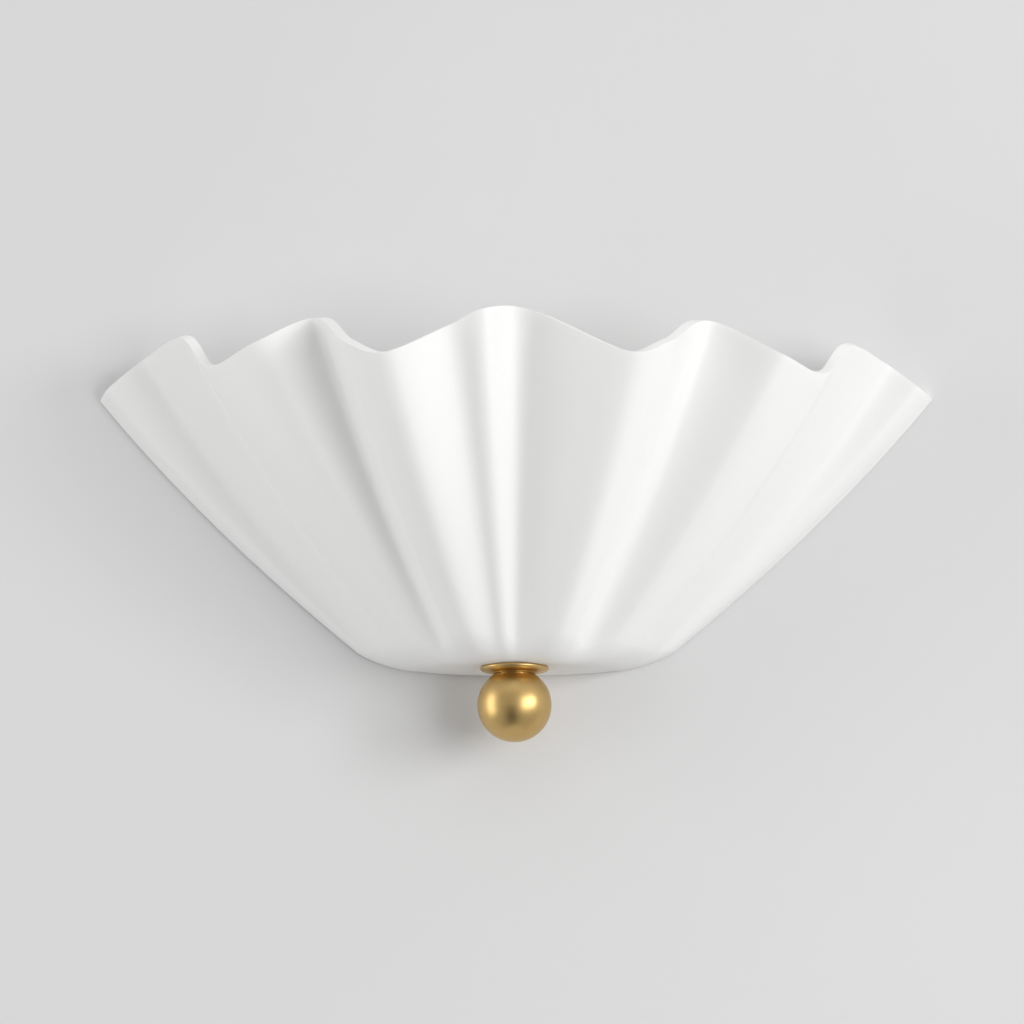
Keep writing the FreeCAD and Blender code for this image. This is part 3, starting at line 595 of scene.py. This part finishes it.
def rim_spot(turn):
    """The outer rim at an angle around the foot, on a smooth curve through the folds."""
    angle, last = math.degrees(turn), len(rim_folds) - 2
    fold = next((i for i in range(last) if angle < rim_folds[i + 1][0]), last)
    start, end = rim_folds[fold][0], rim_folds[fold + 1][0]
    part = (angle - start) / (end - start)
    here, there = Vector(rim_folds[fold][1]), Vector(rim_folds[fold + 1][1])
    before = Vector(rim_folds[fold - 1][1]) if fold else 2 * here - there
    after = Vector(rim_folds[fold + 2][1]) if fold < last else 2 * there - here
    share = here + 0.5 * part * (there - before + part * (2 * before - 5 * here + 4 * there - after
                                                          + part * (3 * here - before - 3 * there + after)))
    return Vector((share.x * shade_half_width, -share.y * shade_reach, share.z * shade_height))


def on_ellipse(half_width, reach, turn):
    return Vector((half_width * math.sin(turn), -reach * math.cos(turn), 0))


def wall_spot(turn, rise):
    """The outside of the shade, by the angle around the foot and by the part of the way up the wall."""
    rim = rim_spot(turn)
    small_rim = Vector((rim.x * base_half_width / shade_half_width, rim.y * base_reach / shade_reach, 0))
    foot = on_ellipse(base_half_width, base_reach, turn).lerp(small_rim, foot_fold)
    outward = on_ellipse(base_reach, base_half_width, turn).normalized()
    return foot.lerp(rim, rise) + outward * (4 * rise * (1 - rise) * wall_bulge)


def folded(spot):
    """Carries a spot of the plain round bowl to the folded one: its floor, then its corner, then its wall."""
    turn, across, up = math.atan2(spot.x, -spot.y), spot.xy.length, spot.z
    flat, foot = on_ellipse(floor_half_width, floor_reach, turn), wall_spot(turn, 0)
    corner = (foot - flat).length / (wall_spot(turn, 1) - foot).length
    if up > 1:
        return wall_spot(turn, corner + (1 - corner) * (up - 1))
    lift = Vector((0, 0, floor_rise * abs(math.sin(turn)) ** 3))
    if across > 1:
        return flat + lift * (1 - up) + (foot - flat) * (across - 1) + (wall_spot(turn, corner) - foot) * up
    return flat * across + lift * across ** 3


shade = bmesh.new()
floor_line = chain(shade, [(-part / floor_rows, 0, 0) for part in range(floor_rows + 1)])
chain(shade, [(-2, 0, 1 + part / wall_rows) for part in range(wall_rows + 1)])
bmesh.ops.spin(shade, geom=[floor_line[floor_rows]], cent=(-1, 0, 1), axis=(0, 1, 0), angle=math.pi / 2,
               steps=corner_rows)
bmesh.ops.remove_doubles(shade, verts=shade.verts, dist=1e-4)
bmesh.ops.spin(shade, geom=everything(shade), cent=(0, 0, 0), axis=(0, 0, 1), angle=math.pi, steps=columns)
bmesh.ops.remove_doubles(shade, verts=shade.verts, dist=1e-4)
for v in shade.verts:
    v.co = folded(v.co)
bmesh.ops.translate(shade, vec=(0, 0, underside), verts=shade.verts)

glaze, glaze_shader, place = finish("glaze", {"Coat Weight": 0.1, "Coat Roughness": 0.3, "IOR": 1.45})
tone = clouds(place, 14.0)
place.feed(between(tone, (0.94, 0.938, 0.932), (0.915, 0.912, 0.905)), glaze_shader.inputs["Base Color"])
place.feed(0.42 + 0.12 * tone, glaze_shader.inputs["Roughness"])
skin = place.node("Bump", inputs={"Strength": 0.06, "Distance": 0.0006, "Height": clouds(place, 90.0)})
place.feed(skin, glaze_shader.inputs["Normal"])

shade_piece = as_piece("ruffled_shade", shade, "fixture", glaze, "glaze", "shade_shell")
thickness = shade_piece.modifiers.new("wall", "SOLIDIFY")
thickness.thickness = shade_wall
thickness.offset = -1
thickness.use_even_offset = True
lip = shade_piece.modifiers.new("lip", "BEVEL")
lip.width = lip_round
lip.segments = 4
lip.limit_method = "ANGLE"
lip.angle_limit = math.radians(50)


# The finial: a dished collar with a thin bead under it and a ball with a groove at its neck, both turned from
# brass, finely brushed on the lathe and lacquered. The collar's low rim hides the gasket. The ball screws up the
# stud and clamps the shade to the bracket.

collar_radius, collar_height, stud_bore = 0.01475, 0.0022, 0.0055
recess_radius, collar_rim = 0.0112, 0.0004
ball_radius, shoulder_radius, neck_radius, neck_height = 0.016, 0.0093, 0.008, 0.00086
ball_bore, ball_thread_depth = 0.00485, 0.018
collar_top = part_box("finial_collar")[1].z
ball_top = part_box("finial_ball")[1].z
shoulder_height = math.sqrt(ball_radius ** 2 - shoulder_radius ** 2)

brass, brass_shader, place = finish("satin_brass", {"Metallic": 1.0})
brushing = clouds(place, 1.0, 2.0, stretch=(40, 40, 2600))
place.feed(between(clouds(place, 160.0), (0.66, 0.46, 0.19), (0.58, 0.39, 0.15)),
           brass_shader.inputs["Base Color"])
place.feed(0.32 + 0.1 * brushing, brass_shader.inputs["Roughness"])
skin = place.node("Bump", inputs={"Strength": 0.25, "Distance": 0.00004, "Height": brushing})
place.feed(skin, brass_shader.inputs["Normal"])

ball = ball_part(ball_radius, -ball_radius, shoulder_height, segments=128)
for rise, widen in ((0, neck_radius / shoulder_radius), (neck_height, 1), (0, ball_bore / neck_radius),
                    (-ball_thread_depth, 1)):
    drawn_on(ball, rise, widen)
bmesh.ops.holes_fill(ball, edges=open_edges(ball))
spread(ball, Matrix.Translation((0, stud_y, ball_top - neck_height - shoulder_height)))
as_piece("brass_ball", ball, "finial_ball", brass, "brass", "finial_ball")

bead = ((0.0083, 0.0), (0.0085, -0.0003), (0.0089, -0.00045), (0.0093, -0.0003), (0.0095, 0.0))
dish = ((0.0112, 0.0002), (0.0131, 0.0006), (0.0143, 0.0011), (collar_radius, 0.0017),
        (collar_radius, collar_height), (collar_radius - 0.0003, collar_height + collar_rim))
collar = turned([(stud_bore, 0), *bead, *dish, (recess_radius, collar_height + collar_rim),
                 (recess_radius, collar_height), (stud_bore, collar_height), (stud_bore, 0)], steps=128)
spread(collar, Matrix.Translation((0, stud_y, collar_top - collar_height)))
as_piece("brass_collar", collar, "finial_collar", brass, "brass", "finial_collar")
